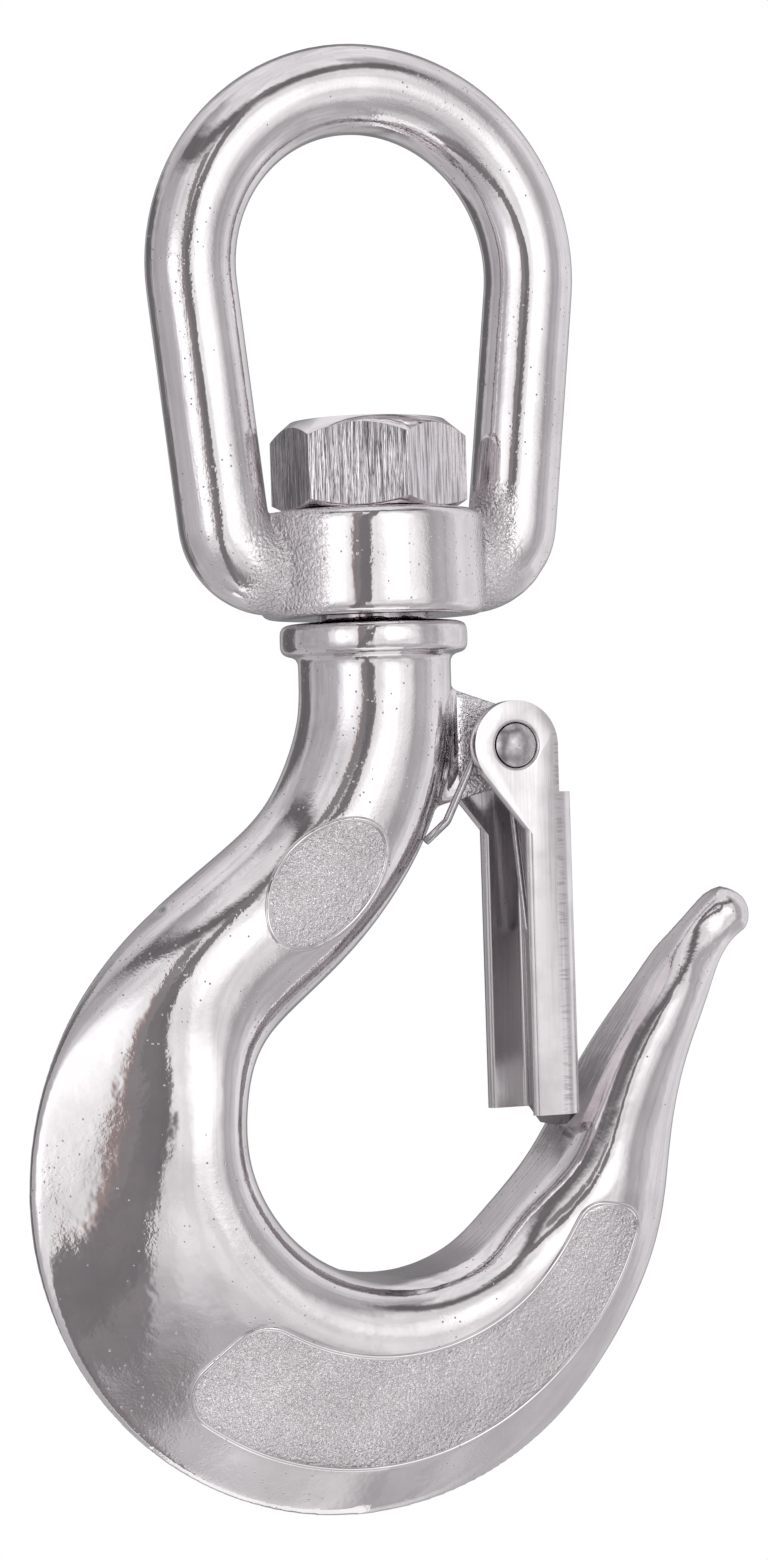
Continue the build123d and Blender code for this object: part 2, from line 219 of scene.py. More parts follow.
# Lamps: name, turn from the lens and rise in degrees, width in metres and power in watts
LAMPS = (("key_lamp", 28, 10, 1.0, 0.13), ("fill_lamp", -38, 4, 0.9, 0.08))
LAMP_DISTANCE = 1.2
FLOOR_GLOW = 0.7


def reach(start, way, centre, radius):
    """Distance from a point inside a circle to the circle, along a unit vector."""
    apart = start - centre
    along = way.dot(apart)
    return math.sqrt(along**2 - apart.length_squared + radius**2) - along


def linear_colour(code):
    """Linear RGBA of an sRGB hex colour."""
    shares = [int(code[place : place + 2], 16) / 255 for place in (1, 3, 5)]
    return tuple(s / 12.92 if s <= 0.04045 else ((s + 0.055) / 1.055) ** 2.4 for s in shares) + (1.0,)


def per_size(sizes):
    """Scale of a pattern whose parts have these sizes along the axes."""
    return tuple(1 / size for size in sizes)


def ease(value, low, high):
    """Smooth share from 0 at low to 1 at high."""
    share = min(1.0, max(0.0, (value - low) / (high - low)))
    return share * share * (3 - 2 * share)


class HookSizes(bpy.types.PropertyGroup):
    """Sizes of the dressing."""

    hook_grid: bpy.props.FloatProperty(
        name="Hook grid",
        description="Spacing of the skin of the hook casting",
        default=0.42 * MM,
        precision=5,
        unit="LENGTH",
    )
    eye_grid: bpy.props.FloatProperty(
        name="Eye grid",
        description="Spacing of the skin of the eye casting",
        default=0.32 * MM,
        precision=5,
        unit="LENGTH",
    )
    ease_rounds: bpy.props.IntProperty(
        name="Easing",
        description="Rounds of smoothing that ease the corners of a casting",
        default=5,
    )
    rim_bead: bpy.props.FloatProperty(
        name="Panel rim",
        description="Radius of the raised bead around a cast panel",
        default=0.3 * MM,
        precision=5,
        unit="LENGTH",
    )
    rim_offset: bpy.props.FloatProperty(
        name="Panel rim offset",
        description="Distance of the bead's middle outside the panel's edge",
        default=0.3 * MM,
        precision=5,
        unit="LENGTH",
    )
    nut_edge: bpy.props.FloatProperty(
        name="Nut edge",
        description="Width of the worn edges of the nut",
        default=0.35 * MM,
        precision=5,
        unit="LENGTH",
    )
    sheet_edge: bpy.props.FloatProperty(
        name="Sheet edge",
        description="Width of the dressed edges of the latch sheet",
        default=0.18 * MM,
        precision=5,
        unit="LENGTH",
    )
    floor_gap: bpy.props.FloatProperty(
        name="Floor gap",
        description="Height of the hanging hook above the floor",
        default=1.6,
        unit="LENGTH",
    )
    floor_width: bpy.props.FloatProperty(
        name="Floor width",
        description="Width of the studio floor",
        default=1.2,
        unit="LENGTH",
    )


class HookColours(bpy.types.PropertyGroup):
    """Colours of the finishes."""

    bright_steel: bpy.props.FloatVectorProperty(
        name="Bright steel",
        description="Buffed stainless casting",
        default=linear_colour("#efebed"),
        size=4,
        subtype="COLOR",
    )
    grey_steel: bpy.props.FloatVectorProperty(
        name="Grey steel",
        description="Less buffed patches of the casting",
        default=linear_colour("#dedadc"),
        size=4,
        subtype="COLOR",
    )
    pit_steel: bpy.props.FloatVectorProperty(
        name="Pits",
        description="Casting pits that the buffing leaves open",
        default=linear_colour("#ada7ab"),
        size=4,
        subtype="COLOR",
    )
    nut_steel: bpy.props.FloatVectorProperty(
        name="Nut steel",
        description="Drawn bar of the nut",
        default=linear_colour("#ece8eb"),
        size=4,
        subtype="COLOR",
    )
    brush_steel: bpy.props.FloatVectorProperty(
        name="Brush lines",
        description="Darker lines in the brushed flats",
        default=linear_colour("#9c979a"),
        size=4,
        subtype="COLOR",
    )
    sheet_steel: bpy.props.FloatVectorProperty(
        name="Sheet steel",
        description="Satin sheet of the latch",
        default=linear_colour("#f3eff1"),
        size=4,
        subtype="COLOR",
    )
    # Painted shade: the darker grey given to the inside of the folded latch
    inner_shade_steel: bpy.props.FloatVectorProperty(
        name="Inner sheet",
        description="Grey inside of the folded latch",
        default=linear_colour("#d0ccce"),
        size=4,
        subtype="COLOR",
    )
    wire_steel: bpy.props.FloatVectorProperty(
        name="Wire steel",
        description="Drawn wire of the spring and the pin",
        default=linear_colour("#e0dcdf"),
        size=4,
        subtype="COLOR",
    )
    floor_white: bpy.props.FloatVectorProperty(
        name="Floor",
        description="Pale studio floor",
        default=linear_colour("#f2f2f2"),
        size=4,
        subtype="COLOR",
    )


def pick_none():
    """Leaves nothing selected."""
    bpy.ops.object.select_all(action="DESELECT")


def pick(*objects):
    """Leaves only these objects selected, the first one active."""
    pick_none()
    for each in objects:
        each.select_set(True)
    bpy.context.view_layer.objects.active = objects[0]


def merged_copy(node, name):
    """A copy of a CAD node with its loose triangles merged to one skin."""
    piece = bpy.data.objects.new(name, frame["nodes"][node].data.copy())
    bpy.context.scene.collection.objects.link(piece)
    piece.data.materials.clear()
    pick(piece)
    bpy.ops.mesh.customdata_custom_splitnormals_clear()
    bpy.ops.object.mode_set(mode="EDIT")
    bpy.ops.mesh.select_all(action="SELECT")
    bpy.ops.mesh.remove_doubles(threshold=0.002 * MM)
    bpy.ops.object.mode_set(mode="OBJECT")
    return piece


def finish_with(piece, kind, **settings):
    """Adds a modifier with its settings and applies it."""
    pick(piece)
    modifier = piece.modifiers.new(kind.title(), kind)
    for name, value in settings.items():
        setattr(modifier, name, value)
    bpy.ops.object.modifier_apply(modifier=modifier.name)


def cast_skin(node, name, grid, rounds):
    """A casting's skin: an even grid over the CAD solid, with its corners eased as a mould leaves them."""
    piece = merged_copy(node, name)
    finish_with(piece, "REMESH", mode="VOXEL", voxel_size=grid)
    finish_with(piece, "SMOOTH", factor=0.5, iterations=rounds)
    bpy.ops.object.shade_smooth()
    return piece


def paint(piece, name, share):
    """Stores a finish's share at each vertex, from the vertex's place and normal."""
    attribute = piece.data.attributes.new(name, "FLOAT", "POINT")
    attribute.data.foreach_set("value", [share(vertex.co, vertex.normal) for vertex in piece.data.vertices])


def seat_piece(piece, body, slot, *nodes):
    """Hides the CAD nodes that a finished piece replaces, and hangs the piece on its body."""
    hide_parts(*nodes)
    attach(piece, body)


def panel_depth(place):
    """Distance inside the nearest panel outline, negative outside it."""
    spot = Vector((place.x, place.z))
    from_rim = spot - RIM_CENTRE
    angle = math.degrees(math.atan2(from_rim.y, from_rim.x)) % 360
    arc = math.radians(1) * BAND_OUTER_R
    across = min(BAND_OUTER_R - from_rim.length, (spot - BAND_CENTRE).length - BAND_INNER_R)
    along, corner = min(
        ((angle - BAND_ANGLES[0]) * arc, BAND_ROUNDS[0]), ((BAND_ANGLES[1] - angle) * arc, BAND_ROUNDS[1])
    )
    band = corner - math.hypot(max(0.0, corner - across), max(0.0, corner - along))
    turned = Matrix.Rotation(math.radians(-OVAL_TURN), 2) @ (spot - OVAL_CENTRE)
    out = math.hypot(turned.x / OVAL_HALF[0], turned.y / OVAL_HALF[1])
    return max(band, (1 - out) * OVAL_HALF[1])


def panel_share(place, normal):
    """Cast grain of the sunken panels on the near flank."""
    return ease(panel_depth(place), *PANEL_EDGE) * ease(-normal.y, *PANEL_SLOPE)


def ground_share(place, normal):
    """Belt-ground flats of the seat and the rim, below the bend."""
    return (1 - ease(abs(normal.y), *GROUND_SLOPE)) * (1 - ease(place.z, *GROUND_TOP))


def lug_share(place, normal):
    """Rough cast skin of the latch lug, which no wheel reaches; its slight greying is partly painted shade.
    """
    return ease(place.x, *LUG_SIDE) * ease(place.z, *LUG_FOOT)


def channel_shade_share(place, normal):
    """Painted shade on the inside of the latch's channel."""
    return (1 - ease(abs(place.y), *CHANNEL_SHADE_EDGE)) * ease(-normal.x, *CHANNEL_SHADE_SLOPE)


def blend_share(place, normal):
    """Cast grain where the eye's legs run into the boss."""
    side = ease(abs(place.x), *ROOT_INNER) * (1 - ease(abs(place.x), *ROOT_OUTER))
    return side * (1 - ease(place.z, *ROOT_TOP))


def leg_share(place, normal):
    """Belt-ground outer faces of the eye's legs."""
    outward = ease(normal.x * math.copysign(1, place.x), *LEG_SLOPE)
    return outward * ease(abs(place.x), *LEG_SIDE) * (1 - ease(place.z, *LEG_TOP))


def add(tree, kind, sockets=(), **settings):
    """Adds a node with its settings, and values or links for its sockets by name or number."""
    node = tree.nodes.new(kind)
    for name, value in settings.items():
        setattr(node, name, value)
    for key, value in dict(sockets).items():
        if isinstance(value, bpy.types.NodeSocket):
            tree.links.new(value, node.inputs[key])
        else:
            node.inputs[key].default_value = value
    return node


def new_material(name):
    """An empty node material with its shader."""
    material = bpy.data.materials.new(name)
    material.use_nodes = True
    tree = material.node_tree
    return material, tree, tree.nodes["Principled BSDF"]


def make_metal(tree, shader, sources):
    """Turns a shader to metal and links the source of each of its inputs."""
    shader.inputs["Metallic"].default_value = 1.0
    for name, source in sources.items():
        tree.links.new(source, shader.inputs[name])


def cast_stainless(colours):
    """Cast stainless steel, tumbled and buffed: bright with open pits, dull where no wheel reaches."""
    material, tree, shader = new_material(CAST_STEEL)
    place = add(tree, "ShaderNodeTexCoord").outputs["Object"]
    panel, ground, rough = (
        add(tree, "ShaderNodeAttribute", attribute_name=name).outputs["Fac"]
        for name in ("panel", "ground", "rough")
    )
    dull = add(tree, "ShaderNodeMath", {0: panel, 1: rough}, operation="MAXIMUM").outputs[0]
    patches, porous, waves, peel, fine, coarse = (
        add(tree, "ShaderNodeTexNoise", {"Vector": place, "Scale": 1 / size, "Detail": detail}).outputs[0]
        for size, detail in (
            (BUFF_PATCH, 3.0),
            (PORE_FIELD, 2.0),
            (WAVE, 1.0),
            (PEEL, 1.0),
            (FINE_GRAIN, 1.0),
            (COARSE_GRAIN, 2.0),
        )
    )

    # Patches of a hand's buffing
    patched = add(tree, "ShaderNodeMapRange", enumerate((patches, *PATCH_BAND))).outputs[0]
    skin = add(
        tree,
        "ShaderNodeMix",
        {"Factor": patched, "A": colours.bright_steel, "B": colours.grey_steel},
        data_type="RGBA",
    ).outputs["Result"]

    # Open pits where the casting is porous and along the edges of its ground faces
    porosity = add(tree, "ShaderNodeMapRange", enumerate((porous, *POROUS_BAND, *POROSITY))).outputs[0]
    unground = add(tree, "ShaderNodeMath", {0: 1.0, 1: ground}, operation="SUBTRACT").outputs[0]
    edge = add(tree, "ShaderNodeMath", {0: ground, 1: unground}, operation="MULTIPLY").outputs[0]
    porosity = add(
        tree, "ShaderNodeMath", {0: edge, 1: EDGE_POROSITY, 2: porosity}, operation="MULTIPLY_ADD"
    ).outputs[0]
    pores = add(tree, "ShaderNodeTexVoronoi", {"Vector": place, "Scale": 1 / PORE}).outputs
    small = add(tree, "ShaderNodeMapRange", enumerate((pores["Distance"], *PORE_BAND, 1.0, 0.0))).outputs[0]
    chosen = add(tree, "ShaderNodeSeparateColor", {0: pores["Color"]}).outputs[0]
    some = add(tree, "ShaderNodeMath", {0: chosen, 1: porosity}, operation="LESS_THAN").outputs[0]
    pit = add(tree, "ShaderNodeMath", {0: small, 1: some}, operation="MULTIPLY").outputs[0]
    # The dull zones are greyed a little: cast grain, and on the lug partly painted shade
    shade = add(tree, "ShaderNodeMath", {0: dull, 1: DULL_SHADE, 2: pit}, operation="MULTIPLY_ADD").outputs[0]
    colour = add(
        tree, "ShaderNodeMix", {"Factor": shade, "A": skin, "B": colours.pit_steel}, data_type="RGBA"
    ).outputs["Result"]

    # Relief: waves of the hand, orange peel, fine grain, coarse grain where dull, belt lines and pits
    along = add(tree, "ShaderNodeMapping", {"Vector": place, "Scale": per_size(BELT_LINE)}).outputs[0]
    belt = add(tree, "ShaderNodeTexNoise", {"Vector": along, "Scale": 1.0, "Detail": 2.0}).outputs[0]
    grain, dull_grain, belt_lines = (
        add(tree, "ShaderNodeMath", {0: pattern, 1: share}, operation="MULTIPLY").outputs[0]
        for pattern, share in ((fine, porosity), (coarse, dull), (belt, ground))
    )
    height = 0.0
    for relief, depth in (
        (waves, WAVE_DEPTH),
        (peel, PEEL_DEPTH),
        (grain, GRAIN_DEPTH),
        (dull_grain, DULL_DEPTH),
        (belt_lines, BELT_DEPTH),
        (pit, -PIT_DEPTH),
    ):
        height = add(
            tree, "ShaderNodeMath", {0: relief, 1: depth, 2: height}, operation="MULTIPLY_ADD"
        ).outputs[0]
    bump = add(tree, "ShaderNodeBump", {"Height": height, "Distance": MM, "Strength": 1.0}).outputs[0]

    roughness = add(tree, "ShaderNodeMapRange", enumerate((patches, 0.0, 1.0, *CAST_ROUGHNESS))).outputs[0]
    for share, more in ((dull, DULL_ROUGHER), (ground, GROUND_ROUGHER), (pit, PIT_ROUGHER)):
        roughness = add(
            tree, "ShaderNodeMath", {0: share, 1: more, 2: roughness}, operation="MULTIPLY_ADD"
        ).outputs[0]
    make_metal(tree, shader, {"Base Color": colour, "Roughness": roughness, "Normal": bump})
    return material


def brushed_bar(colours):
    """Drawn stainless bar, brushed along its axis: dark upright lines on a sheen, bright at its ends."""
    material, tree, shader = new_material(BAR_STEEL)
    place = add(tree, "ShaderNodeTexCoord").outputs["Object"]
    along = add(tree, "ShaderNodeMapping", {"Vector": place, "Scale": per_size(BRUSH_LINE)}).outputs[0]
    lines = add(tree, "ShaderNodeTexNoise", {"Vector": along, "Scale": 1.0, "Detail": 3.0}).outputs[0]
    share = add(tree, "ShaderNodeMapRange", enumerate((lines, *BRUSH_BAND))).outputs[0]
    colour = add(
        tree,
        "ShaderNodeMix",
        {"Factor": share, "A": colours.nut_steel, "B": colours.brush_steel},
        data_type="RGBA",
    ).outputs["Result"]

    # Turned faces and chamfers at both ends, which the brush leaves bright
    facing = add(tree, "ShaderNodeTexCoord").outputs["Normal"]
    facing = add(tree, "ShaderNodeSeparateXYZ", {0: facing}).outputs["Z"]
    facing = add(tree, "ShaderNodeMath", {0: facing}, operation="ABSOLUTE").outputs[0]
    flat = add(tree, "ShaderNodeMapRange", enumerate((facing, *BRUSH_SLOPE, 1.0, 0.0))).outputs[0]
    colour = add(
        tree, "ShaderNodeMix", {"Factor": flat, "A": colours.bright_steel, "B": colour}, data_type="RGBA"
    ).outputs["Result"]
    brushed = add(tree, "ShaderNodeMath", {0: lines, 1: flat}, operation="MULTIPLY").outputs[0]
    roughness = add(tree, "ShaderNodeMapRange", enumerate((brushed, 0.0, 1.0, *BAR_ROUGHNESS))).outputs[0]
    bump = add(tree, "ShaderNodeBump", {"Height": brushed, "Distance": BRUSH_DEPTH * MM, "Strength": 1.0})
    make_metal(tree, shader, {"Base Color": colour, "Roughness": roughness, "Normal": bump.outputs[0]})
    return material


def satin_sheet(colours):
    """Cold-rolled stainless sheet, folded in a press: satin, with painted shade inside the channel and tool
    ticks along the fold.
    """
    material, tree, shader = new_material(SHEET_STEEL)
    place = add(tree, "ShaderNodeTexCoord").outputs["Object"]
    # Share of the painted shade inside the latch's channel
    inside = add(tree, "ShaderNodeAttribute", attribute_name="inside").outputs["Fac"]
    along = add(tree, "ShaderNodeMapping", {"Vector": place, "Scale": per_size(ROLL_LINE)}).outputs[0]
    roll = add(tree, "ShaderNodeTexNoise", {"Vector": along, "Scale": 1.0, "Detail": 3.0}).outputs[0]
    cloud = add(
        tree, "ShaderNodeTexNoise", {"Vector": place, "Scale": 1 / SHEET_CLOUD, "Detail": 4.0}
    ).outputs[0]

    # Short level ticks of the press, in a strip at the start of the fold
    across = add(tree, "ShaderNodeMapping", {"Vector": place, "Scale": per_size(PRESS_TICK)}).outputs[0]
    tick = add(tree, "ShaderNodeTexNoise", {"Vector": across, "Scale": 1.0, "Detail": 2.0}).outputs[0]
    tick = add(tree, "ShaderNodeMapRange", enumerate((tick, *TICK_BAND))).outputs[0]
    level = add(tree, "ShaderNodeSeparateXYZ", {0: place}).outputs["X"]
    apart = add(tree, "ShaderNodeMath", {0: level, 1: FOLD_X}, operation="SUBTRACT").outputs[0]
    apart = add(tree, "ShaderNodeMath", {0: apart}, operation="ABSOLUTE").outputs[0]
    strip = add(tree, "ShaderNodeMapRange", enumerate((apart, *TICK_EDGE, TICK_SHADE, 0.0))).outputs[0]
    tick = add(tree, "ShaderNodeMath", {0: tick, 1: strip}, operation="MULTIPLY").outputs[0]

    worn = add(tree, "ShaderNodeMapRange", enumerate((cloud, *WORN_BAND, 0.0, WORN_SHADE))).outputs[0]
    worn = add(tree, "ShaderNodeMath", {0: worn, 1: tick}, operation="MAXIMUM").outputs[0]
    colour = add(
        tree,
        "ShaderNodeMix",
        {"Factor": worn, "A": colours.sheet_steel, "B": colours.brush_steel},
        data_type="RGBA",
    ).outputs["Result"]
    # Painted shade: the inside of the channel is mixed toward a darker grey
    colour = add(
        tree, "ShaderNodeMix", {"Factor": inside, "A": colour, "B": colours.inner_shade_steel}, data_type="RGBA"
    ).outputs["Result"]
    roughness = add(tree, "ShaderNodeMapRange", enumerate((roll, 0.0, 1.0, *SHEET_ROUGHNESS))).outputs[0]
    height = add(tree, "ShaderNodeMath", {0: tick, 1: -1.0, 2: roll}, operation="MULTIPLY_ADD").outputs[0]
    bump = add(tree, "ShaderNodeBump", {"Height": height, "Distance": ROLL_DEPTH * MM, "Strength": 1.0})
    make_metal(tree, shader, {"Base Color": colour, "Roughness": roughness, "Normal": bump.outputs[0]})
    return material


def drawn_wire(colours):
    """Drawn spring wire: smooth and grey, with faint die marks."""
    material, tree, shader = new_material(WIRE_STEEL)
    place = add(tree, "ShaderNodeTexCoord").outputs["Object"]
    marks = add(
        tree, "ShaderNodeTexNoise", {"Vector": place, "Scale": 1 / DIE_MARK, "Detail": 2.0}
    ).outputs[0]
    colour = add(
        tree,
        "ShaderNodeMix",
        {"Factor": marks, "A": colours.wire_steel, "B": colours.brush_steel},
        data_type="RGBA",
    ).outputs["Result"]
    roughness = add(tree, "ShaderNodeMapRange", enumerate((marks, 0.0, 1.0, *WIRE_ROUGHNESS))).outputs[0]
    make_metal(tree, shader, {"Base Color": colour, "Roughness": roughness})
    return material


def finish(name, make):
    """The finish of that name, made once."""
    return bpy.data.materials.get(name) or make(bpy.context.scene.hook_colours)


class HOOK_OT_hook_casting(bpy.types.Operator):
    """Casts the hook's skin over its solid, with the shares of its finishes."""

    bl_idname = "hook.hook_casting"
    bl_label = "Hook casting"

    def execute(self, context):
        sizes = context.scene.hook_sizes
        casting = cast_skin("hook_body", "hook_casting", sizes.hook_grid, sizes.ease_rounds)
        paint(casting, "panel", panel_share)
        paint(casting, "ground", ground_share)
        paint(casting, "rough", lug_share)
        casting.data.materials.append(finish(CAST_STEEL, cast_stainless))
        seat_piece(casting, "hook", "cast_steel", "hook_body")
        return {"FINISHED"}


def lay_bead(wire, casting, radius):
    """Drops a closed wire on the near flank of the casting and rounds it to a bead."""
    finish_with(
        wire,
        "SHRINKWRAP",
        target=casting,
        wrap_method="PROJECT",
        use_project_y=True,
        use_positive_direction=True,
        use_negative_direction=False,
    )
    bpy.ops.object.convert(target="CURVE")
    wire.data.bevel_depth = radius
    wire.data.bevel_resolution = 3
    bpy.ops.object.convert(target="MESH")
    bpy.ops.object.shade_smooth()


def spun_arc(centre, radius, turns, steps):
    """An arc of edges in the air in front of the near flank, spun from one vertex."""
    start = centre + radius * Vector((math.cos(turns[0]), math.sin(turns[0])))
    pick_none()
    bpy.ops.mesh.primitive_plane_add(size=MM, location=(start.x, FRONT, start.y))
    arc = bpy.context.active_object
    bpy.ops.object.mode_set(mode="EDIT")
    bpy.ops.mesh.merge(type="CENTER")
    bpy.ops.mesh.spin(
        steps=steps, angle=turns[1] - turns[0], center=(centre.x, FRONT, centre.y), axis=(0, 1, 0)
    )
    bpy.ops.object.mode_set(mode="OBJECT")
    bpy.ops.object.transform_apply(location=True)
    return arc


def turn_of(way):
    """Angle of a vector of the XZ plane, from 0 to a full turn."""
    return math.atan2(way.y, way.x) % (2 * math.pi)


def band_wire(offset):
    """The outline of the band panel: two long arcs with a rounded corner at each end of each."""
    arcs = []
    outer_r, inner_r = BAND_OUTER_R + offset, BAND_INNER_R - offset
    outer_turns, inner_turns = [], []
    for degrees, corner, side in zip(BAND_ANGLES, BAND_ROUNDS, (1, -1)):
        way = Vector((math.cos(math.radians(degrees)), math.sin(math.radians(degrees))))
        inward = side * Vector((-way.y, way.x))
        base = RIM_CENTRE - offset * inward
        # Corner on the outer arc, which lies inside that arc
        level = corner - offset
        outer_corner = base + corner * inward + way * math.sqrt((outer_r - corner) ** 2 - level**2)
        outer_turns.append(turn_of(outer_corner - RIM_CENTRE))
        arcs.append((outer_corner, corner, (turn_of(-inward), outer_turns[-1])))
        # Corner on the inner arc, which lies outside that arc
        start = base + corner * inward
        inner_corner = start + way * reach(start, way, BAND_CENTRE, inner_r + corner)
        inner_turns.append(turn_of(inner_corner - BAND_CENTRE))
        arcs.append((inner_corner, corner, (turn_of(-inward), turn_of(BAND_CENTRE - inner_corner))))
    pieces = [
        spun_arc(RIM_CENTRE, outer_r, outer_turns, RIM_STEPS),
        spun_arc(BAND_CENTRE, inner_r, inner_turns, RIM_STEPS),
    ]
    for centre, radius, (first, last) in arcs:
        sweep = (last - first + math.pi) % (2 * math.pi) - math.pi
        start = min(first, first + sweep)
        pieces.append(spun_arc(centre, radius, (start, start + abs(sweep)), CORNER_STEPS))
    pick(*pieces)
    bpy.ops.object.join()
    outline = pieces[0]
    outline.name = "band_rim"
    bpy.ops.object.mode_set(mode="EDIT")
    bpy.ops.mesh.select_all(action="SELECT")
    bpy.ops.mesh.remove_doubles(threshold=0.05 * MM)
    bpy.ops.object.mode_set(mode="OBJECT")
    join_ends(outline)
    return outline


def join_ends(outline):
    """Closes an outline by an edge between each pair of its loose ends."""
    used = [vertex for edge in outline.data.edges for vertex in edge.vertices]
    loose = [vertex.index for vertex in outline.data.vertices if used.count(vertex.index) == 1]
    loose.sort(key=lambda index: outline.data.vertices[index].co.x)
    for pair in (loose[:2], loose[2:]):
        bpy.ops.object.mode_set(mode="EDIT")
        bpy.ops.mesh.select_all(action="DESELECT")
        bpy.ops.object.mode_set(mode="OBJECT")
        for index in pair:
            outline.data.vertices[index].select = True
        bpy.ops.object.mode_set(mode="EDIT")
        bpy.ops.mesh.edge_face_add()
        bpy.ops.object.mode_set(mode="OBJECT")


class HOOK_OT_panel_rims(bpy.types.Operator):
    """Lays a raised bead around the band panel and the oval panel."""

    bl_idname = "hook.panel_rims"
    bl_label = "Panel rims"

    def execute(self, context):
        sizes = context.scene.hook_sizes
        casting = bpy.data.objects["hook_casting"]
        pick_none()
        bpy.ops.mesh.primitive_circle_add(
            vertices=2 * RIM_STEPS,
            radius=1.0,
            location=(OVAL_CENTRE.x, FRONT, OVAL_CENTRE.y),
            rotation=(math.radians(90), math.radians(-OVAL_TURN), 0),
        )
        oval = context.active_object
        oval.name = "oval_rim"
        oval.scale = (OVAL_HALF[0] + sizes.rim_offset, OVAL_HALF[1] + sizes.rim_offset, 1)
        bpy.ops.object.transform_apply(location=True, rotation=True, scale=True)
        band = band_wire(sizes.rim_offset)
        for rim in (oval, band):
            finish_with(rim, "SUBSURF", levels=3, render_levels=3)
            lay_bead(rim, casting, sizes.rim_bead)
            rim.data.materials.append(finish(CAST_STEEL, cast_stainless))
            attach(rim, "hook")
        return {"FINISHED"}


class HOOK_OT_eye_casting(bpy.types.Operator):
    """Casts the eye's skin over its solid, with soft roots of its legs at the boss."""

    bl_idname = "hook.eye_casting"
    bl_label = "Eye casting"

    def execute(self, context):
        sizes = context.scene.hook_sizes
        casting = cast_skin("swivel_eye", "eye_casting", sizes.eye_grid, sizes.ease_rounds)
        paint(casting, "ground", leg_share)
        paint(casting, "rough", blend_share)
        casting.data.materials.append(finish(CAST_STEEL, cast_stainless))
        seat_piece(casting, "eye", "cast_steel", "swivel_eye")
        return {"FINISHED"}


class HOOK_OT_nut(bpy.types.Operator):
    """Wears the edges of the swivel nut."""

    bl_idname = "hook.nut"
    bl_label = "Swivel nut"

    def execute(self, context):
        nut = merged_copy("swivel_nut", "hex_nut")
        finish_with(nut, "DECIMATE", decimate_type="DISSOLVE", angle_limit=math.radians(2))
        finish_with(
            nut,
            "BEVEL",
            width=context.scene.hook_sizes.nut_edge,
            segments=3,
            limit_method="ANGLE",
            angle_limit=math.radians(25),
        )
        bpy.ops.object.shade_smooth_by_angle(angle=math.radians(20))
        nut.data.materials.append(finish(BAR_STEEL, brushed_bar))
        seat_piece(nut, "hook", "nut_steel", "swivel_nut")
        return {"FINISHED"}


class HOOK_OT_latch(bpy.types.Operator):
    """Dresses the edges of the folded latch."""

    bl_idname = "hook.latch"
    bl_label = "Safety latch"

    def execute(self, context):
        latch = merged_copy("safety_latch", "latch_sheet")
        finish_with(latch, "DECIMATE", decimate_type="DISSOLVE", angle_limit=math.radians(1))
        finish_with(
            latch,
            "BEVEL",
            width=context.scene.hook_sizes.sheet_edge,
            segments=2,
            limit_method="ANGLE",
            angle_limit=math.radians(35),
        )
        bpy.ops.object.shade_smooth_by_angle(angle=math.radians(30))
        # Paints where the shade inside the channel goes
        paint(latch, "inside", channel_shade_share)
        latch.data.materials.append(finish(SHEET_STEEL, satin_sheet))
        seat_piece(latch, "latch", "sheet_steel", "safety_latch")
        return {"FINISHED"}


class HOOK_OT_pin_and_spring(bpy.types.Operator):
    """Finishes the pin, and swaps the spring for a smooth copy of its wire."""

    bl_idname = "hook.pin_and_spring"
    bl_label = "Pin and spring"

    def execute(self, context):
        pin = frame["nodes"]["latch_pin"]
        pin.data.materials.clear()
        pin.data.materials.append(finish(WIRE_STEEL, drawn_wire))
        spring = merged_copy("latch_spring", "spring_wire")
        bpy.ops.object.shade_smooth()
        spring.data.materials.append(finish(WIRE_STEEL, drawn_wire))
        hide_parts("latch_spring")
        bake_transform(spring)
        return {"FINISHED"}


class HOOK_OT_stage(bpy.types.Operator):
    """Sets the hook in a white studio, with its floor, tent, lamps and camera."""

    bl_idname = "hook.stage"
    bl_label = "Studio"

    def execute(self, context):
        scene = context.scene
        lay_floor(scene)
        pitch_tent(scene)
        hang_lamps(scene)
        aim_camera(scene)
        scene.view_settings.view_transform = "Standard"
        return {"FINISHED"}


def lay_floor(scene):
    """A pale floor under the hanging hook, white to the lens and to the metal, with the hook's shadow."""
    sizes = scene.hook_sizes
    level = CAD_BOX[0][2] - sizes.floor_gap
    pick_none()
    bpy.ops.mesh.primitive_plane_add(size=sizes.floor_width, location=(0, 0, level))
    floor = bpy.context.active_object
    floor.name = "studio_floor"
    bpy.ops.object.transform_apply(location=True)
    material, tree, shader = new_material("Matt white paper")
    path = add(tree, "ShaderNodeLightPath").outputs
    seen = path["Is Camera Ray"]
    for kind in ("Is Glossy Ray", "Is Transmission Ray"):
        seen = add(tree, "ShaderNodeMath", {0: seen, 1: path[kind]}, operation="MAXIMUM").outputs[0]
    glow = add(tree, "ShaderNodeMath", {0: seen, 1: FLOOR_GLOW}, operation="MULTIPLY")
    shader.inputs["Base Color"].default_value = scene.hook_colours.floor_white
    shader.inputs["Roughness"].default_value = 1.0
    shader.inputs["Specular IOR Level"].default_value = 0.0
    shader.inputs["Emission Color"].default_value = scene.hook_colours.floor_white
    tree.links.new(glow.outputs[0], shader.inputs["Emission Strength"])
    floor.data.materials.append(material)


def tent_ramp(tree, angle, steps):
    """A ramp of colours over an angle in radians."""
    low, high = math.radians(steps[0][0]), math.radians(steps[-1][0])
    share = add(tree, "ShaderNodeMapRange", {0: angle, 1: low, 2: high}).outputs[0]
    ramp = add(tree, "ShaderNodeValToRGB", {0: share})
    stops = ramp.color_ramp.elements
    while len(stops) < len(steps):
        stops.new(0.5)
    for stop, (degrees, code) in zip(stops, steps):
        stop.position = (math.radians(degrees) - low) / (high - low)
        stop.color = linear_colour(code)
    return ramp.outputs[0]


